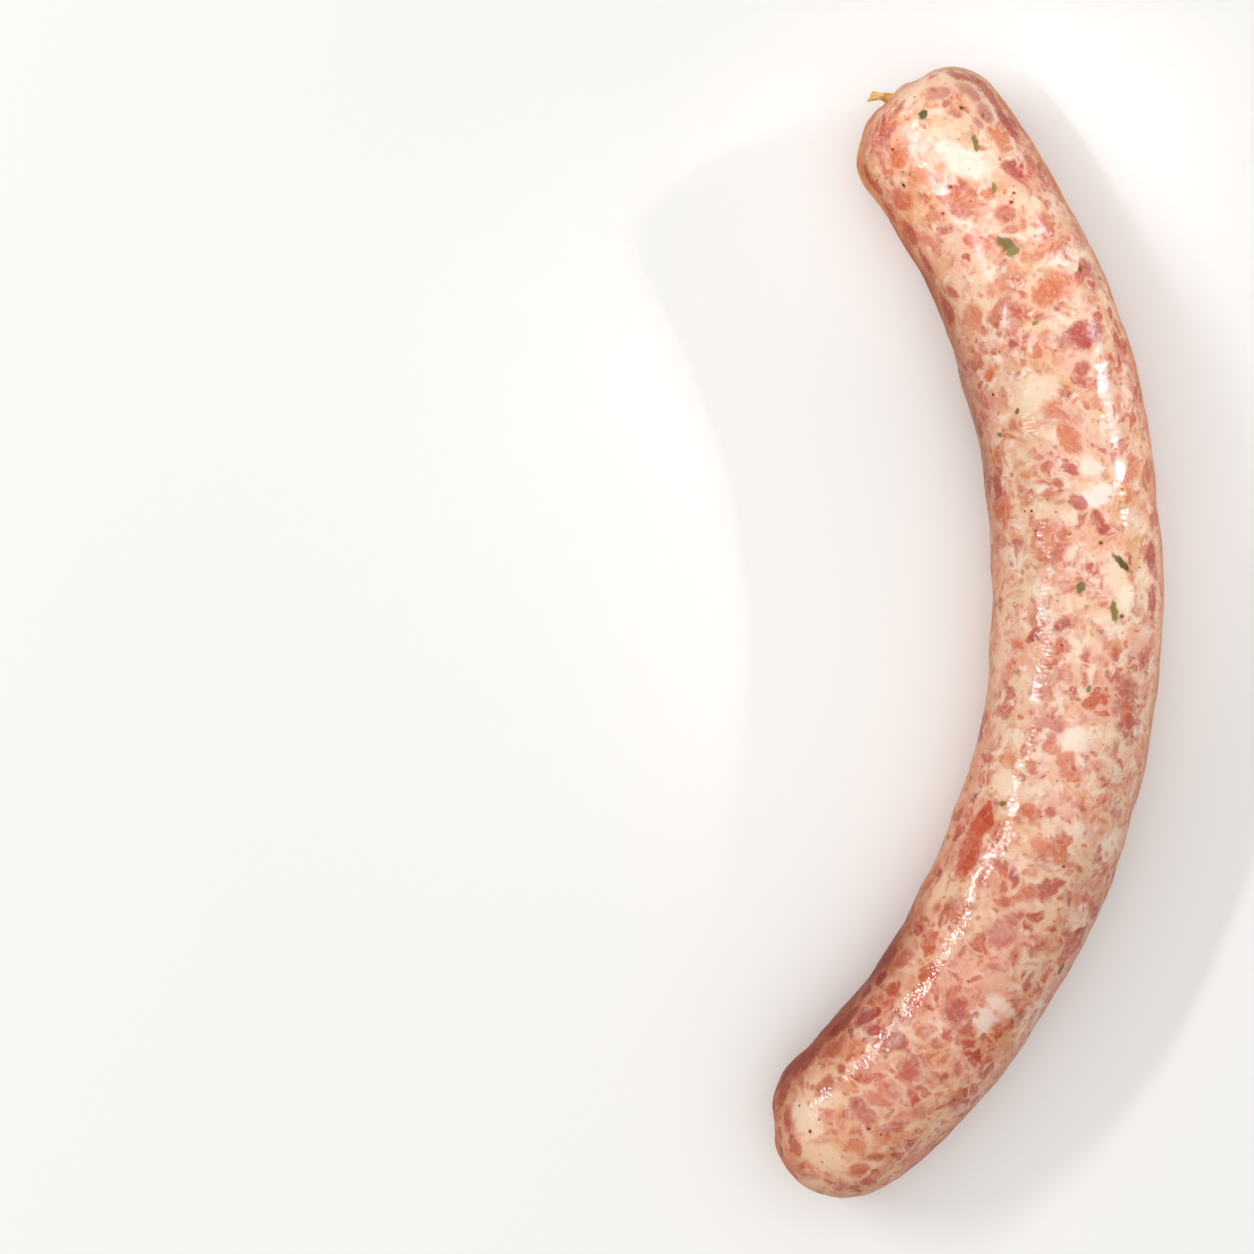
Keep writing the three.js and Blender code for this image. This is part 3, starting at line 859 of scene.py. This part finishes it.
    # The distance from the nearest placed piece, in its radii: from the offset near it, and never under half
    # of what the skin's points hold
    def outline(name):
        x, y, far = paint.parts(paint.attribute(name))
        radius = paint.lengthOf(paint.join(x, y, 0.0))
        return radius.maths("MAXIMUM", far * 0.5)

    herbEdge = outline("herbFlakes") + (waver[1] - 0.5) * 1.4
    herb = paint.mix(paint.value("herbTint"), filling["olive"], filling["darkGreen"])
    herb = paint.mix(paint.step(waver[2] * 0.6 + fibres * 0.4, 0.45, 0.6) * 0.4, herb, filling["olive"])
    colour = paint.mix(paint.step(herbEdge, 1.5, 0.9) * 0.35, colour, filling["olive"])
    colour = paint.mix(paint.step(herbEdge, 1.15, 0.75) * 0.9, colour, herb)
    speckEdge = outline("pepperSpecks")
    colour = paint.mix(paint.step(speckEdge, 2.3, 0.9) * 0.7, colour, filling["halo"])
    colour = paint.mix(paint.step(speckEdge, 1.1, 0.5), colour, filling["pepper"])

    # Towards the lower end the roll is redder and darker, partly its own meat and partly painted shade. Down
    # the flanks shade is painted red-brown, darker lower down, and a darker painted shadow lies on the bow's
    # inner side
    for shade, glaze in ((lower, "lower"), (paint.value("flank"), "flank"), (dark, "dark")):
        colour = paint.mix(shade, colour, glazes[glaze], "MULTIPLY")

    # Near the knots the casing is gathered thick and pale, and the cut tail is dried amber
    colour = paint.mix(paint.value("gathered") * 0.5, colour, filling["casing"])
    streaks = paint.noise(paint.vector("MULTIPLY", place, (1.0, 2.5, 1.0)), sizes["streaks"], 2.0)
    dried = paint.mix(paint.step(streaks, 0.4, 0.62), filling["driedCasing"], filling["amber"])
    colour = paint.mix(paint.value("onTail"), colour, dried)

    # Creases of the casing painted white: partly its own pale wrinkles, partly painted highlight glints over
    # the wrinkled spots
    wrinkled = paint.value("wrinkled")
    net = paint.noise(paint.vector("MULTIPLY", wavy, (1.0, 1.0, 0.6)), sizes["creases"], 1.0)
    creases = paint.step((net - 0.5).maths("ABSOLUTE"), 0.0, 0.16)
    colour = paint.mix((1 - creases) * wrinkled * 0.25, colour, filling["white"])

    # Relief too fine for the mesh: wrinkles across the wet casing, which break its highlights into dashes
    dashes = paint.noise(paint.vector("MULTIPLY", grain, (1.0, 0.3, 0.3)), sizes["dashes"], 1.0)
    pores = paint.noise(grain, sizes["pores"], 1.0)
    swells = paint.noise(grain, sizes["swells"], 1.0)
    wrinkles = paint.noise(paint.vector("MULTIPLY", bent, (1.0, 1.0, 0.6)), sizes["wrinkles"], 2.0, 0.6)
    relief = dashes * 1.15 + pores * 0.6 + swells * 0.7 + (wrinkles * 0.6 + creases * 0.35) * wrinkled
    bump = paint.add("Bump", None, {"Strength": 1.0, "Distance": 0.00009, "Height": relief})

    # Wet on top and duller down the flanks, where it would mirror too much of the pale surface
    meat = {
        "Base Color": colour,
        "IOR": 1.4,
        "Subsurface Weight": 0.35,
        "Subsurface Radius": (1.0, 0.35, 0.2),
        "Subsurface Scale": 0.0012,
        "Normal": bump,
    }
    wetness = paint.step(mood[2], 0.35, 0.65) * 0.05 + paint.value("flank") * 0.3 + 0.03
    wet = paint.add("BsdfPrincipled", None, {**meat, "Roughness": wetness, "Specular IOR Level": 0.8})
    dull = paint.add("BsdfPrincipled", None, {**meat, "Roughness": 0.5, "Specular IOR Level": 0.15})
    shader = paint.add("MixShader", None, {0: paint.value("flank") * 0.8, 1: wet, 2: dull})
    paint.add("OutputMaterial", None, {"Surface": shader})
    return paint.owner


skinRelief = {  # in mm
    "ripples": [(0.09, 9), (0.04, 4.5), (0.02, 2.2)],  # heights and wavelengths
    "sunk": 0.15,  # keeps the skin inside the solid's box
}
# Where shade is painted red-brown down the flanks and a shadow on the inner side, where more lean shows too,
# each pair from where that begins to where it is full: levels in shares of the roll's height, places in mm
# along its middle line, and mm across it, below 0 on the bow's inner side
shades = {
    "flankLevel": (0.87, 0.52),
    "darkLevel": (0.85, 0.45),
    "offFloor": (0.1, 0.5),
    "outer": (0, 8),
    "inner": (0, -8),
    "paleOuter": (0, 60),
    "paleInner": [(-75, -55), (65, 50)],
    "upperDark": [(-88, -74), (-14, -40)],
    "lowerDark": [(46, 68), (112, 98)],
}


# How strongly shade is painted red-brown down the flanks, and how strongly a darker shadow is painted on the
# inner side: products of smooth steps
def paintedShades(place, across, level):
    inner = smooth(*shades["inner"], across)
    paleOuter = smooth(*shades["paleOuter"], place) * smooth(*shades["outer"], across)
    paleInner, upperDark, lowerDark = (
        math.prod(smooth(*pair, place) for pair in shades[name])
        for name in ("paleInner", "upperDark", "lowerDark")
    )
    offFloor = smooth(*shades["offFloor"], level)
    flank = smooth(*shades["flankLevel"], level) * mixed(0.7, 1, offFloor)
    flank *= (1 - 0.25 * paleOuter) * (1 - 0.3 * paleInner * inner)
    dark = inner * smooth(*shades["darkLevel"], level) * mixed(0.6, 1, offFloor)
    return flank, dark * (0.75 * upperDark + lowerDark)


# The sausage: its rings, moved onto the solid, with small relief, and what its material reads
def makeSausage():
    points, place, onTail = skinRings()
    low, high = (np.array(corner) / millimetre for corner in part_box("sausage"))
    shift = (low + high) / 2 - (points.min((0, 1)) + points.max((0, 1))) / 2
    points += np.array([shift[0], shift[1], 0])
    normals = gridNormals(points)

    skin = 1 - smooth(0, 0.15, onTail)
    ripples = enumerate(skinRelief["ripples"], 1)
    bulge = sum(high * ripple(points, wavelength, seed) for seed, (high, wavelength) in ripples)
    points = points + normals * ((bulge - skinRelief["sunk"]) * skin)[..., None]
    points[..., 2] = np.maximum(points[..., 2], 0)
    normals = gridNormals(points)

    middle, _, side, _ = frameAt(place)
    across = ((points - middle - np.array([shift[0], shift[1], 0])) * side).sum(-1)
    # Where shade is painted down the flanks, and a shadow on the inner side
    flank, dark = paintedShades(place, across, points[..., 2] / roll["height"])
    knots = [points[upperEnd["tailRings"]].mean(0), points[-1 - lowerEnd["tailRings"]].mean(0)]
    toKnot = np.min([np.linalg.norm(points - knot, axis=-1) for knot in knots], axis=0)

    sausage = meshFromRings("rawSausage", points)
    data = sausage.data
    addAttribute(data, "grain", np.stack([place, across, points[..., 2]], -1))
    addAttribute(data, "flank", flank)
    addAttribute(data, "dark", dark)
    addAttribute(data, "gathered", np.exp(-(toKnot / roll["gatheredReach"]) ** 2))
    addAttribute(data, "onTail", smooth(0.02, 0.3, onTail))
    for name, pieces in (("leanPieces", leanPieces), ("fatPieces", fatPieces)):
        best, _, values = nearPieces(pieces, points, normals)
        addAttribute(data, name, np.stack([best, values["tint"], values["veil"]], -1))
    best, _, _ = nearPieces(wrinkleAndGlintSpots, points, normals)
    addAttribute(data, "wrinkled", smooth(1.25, 0.5, best))
    for name, pieces in (("herbFlakes", herbFlakes), ("pepperSpecks", pepperSpecks)):
        best, offset, values = nearPieces(pieces, points, normals)
        addAttribute(data, name, np.concatenate([offset, best[..., None]], -1))
        if pieces is herbFlakes:
            addAttribute(data, "herbTint", values["tint"])
    data.materials.append(rawPork())
    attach(sausage, "root")
    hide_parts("sausage")
    print("sausage:", len(data.polygons), "faces")


studio = {
    "floorSize": 3.0,
    "zenith": 1.65,
    "horizon": 0.12,
    "focus": 2.3,  # the higher, the more the light comes from overhead
    "skyTint": (1.0, 0.995, 0.985, 1.0),
    "floorTones": [screen(243, 242, 240), screen(246, 245, 243)],
    "cloudSize": 0.2,  # of the floor's unevenness, in metres
    # Soft boxes: the point that they face, in mm, their direction from it in degrees, azimuth from +X, their
    # distance and size in metres, their watts, and the spread of their beam in degrees
    "boxes": {
        "left": {"aim": (0, 0, 0), "azimuth": 157, "elevation": 39, "distance": 1.6, "size": (0.65, 0.07),
                 "power": 6.9, "spread": 180},
        "right": {"aim": (25, 50, 20), "azimuth": 20, "elevation": 26, "distance": 0.8, "size": (0.12, 0.03),
                  "power": 0.0065, "spread": 6},
        "high": {"aim": (-8, 86, 24), "azimuth": 188, "elevation": 54, "distance": 0.7, "size": (0.05, 0.05),
                 "power": 0.0018, "spread": 5},
    },
}


# A pale matt surface, faintly uneven
def paleSurface():
    paint = Paint(bpy.data.materials.new("paleSurface"))
    place = paint.add("TexCoord", output="Object")
    cloud = paint.noise(place, studio["cloudSize"], 2.0)
    colour = paint.mix(cloud, *studio["floorTones"])
    shader = paint.add("BsdfPrincipled", None, {"Base Color": colour, "Roughness": 0.6})
    paint.add("OutputMaterial", None, {"Surface": shader})
    return paint.owner


# The floor, the soft boxes and a sky whose light is horizon + (zenith - horizon) times a power of the height
def makeStudio():
    half = studio["floorSize"] / 2
    data = bpy.data.meshes.new("floor")
    corners = [(-half, -half, 0), (half, -half, 0), (half, half, 0), (-half, half, 0)]
    data.from_pydata(corners, [], [(0, 1, 2, 3)])
    floor = bpy.data.objects.new("floor", data)
    bpy.context.scene.collection.objects.link(floor)
    data.materials.append(paleSurface())

    for name, box in studio["boxes"].items():
        light = bpy.data.lights.new(name, "AREA")
        light.shape = "RECTANGLE"
        light.size, light.size_y = box["size"]
        light.energy = box["power"]
        light.spread = math.radians(box["spread"])
        azimuth, elevation = math.radians(box["azimuth"]), math.radians(box["elevation"])
        flat = math.cos(elevation)
        way = [math.cos(azimuth) * flat, math.sin(azimuth) * flat, math.sin(elevation)]
        away = np.array(way) * box["distance"]
        lamp = bpy.data.objects.new(name, light)
        lamp.location = np.array(box["aim"]) * millimetre + away
        lamp.rotation_euler = Vector(-away).to_track_quat("-Z", "Y").to_euler()
        bpy.context.scene.collection.objects.link(lamp)

    world = bpy.data.worlds.new("studio")
    sky = Paint(world)
    rise = sky.parts(sky.add("TexCoord", output="Generated"))[2].maths("MAXIMUM", 0.0)
    overhead = studio["zenith"] - studio["horizon"]
    strength = rise.maths("POWER", studio["focus"]) * overhead + studio["horizon"]
    light = sky.add("Background", None, {"Color": studio["skyTint"], "Strength": strength})
    sky.add("OutputWorld", None, {"Surface": light})
    bpy.context.scene.world = world
    print("studio:", len(studio["boxes"]), "soft boxes")


def makeCamera():
    data = bpy.data.cameras.new("camera")
    data.lens = camera["lens"]
    data.sensor_width = camera["sensor"]
    looker = bpy.data.objects.new("camera", data)
    height = camera["distance"] + camera["level"]
    looker.location = (camera["x"] * millimetre, camera["y"] * millimetre, height * millimetre)
    bpy.context.scene.collection.objects.link(looker)
    bpy.context.scene.camera = looker
    print("camera:", round(height), "mm up")


bpy.context.scene.view_settings.view_transform = "Standard"
makeCamera()
makeSausage()
makeStudio()
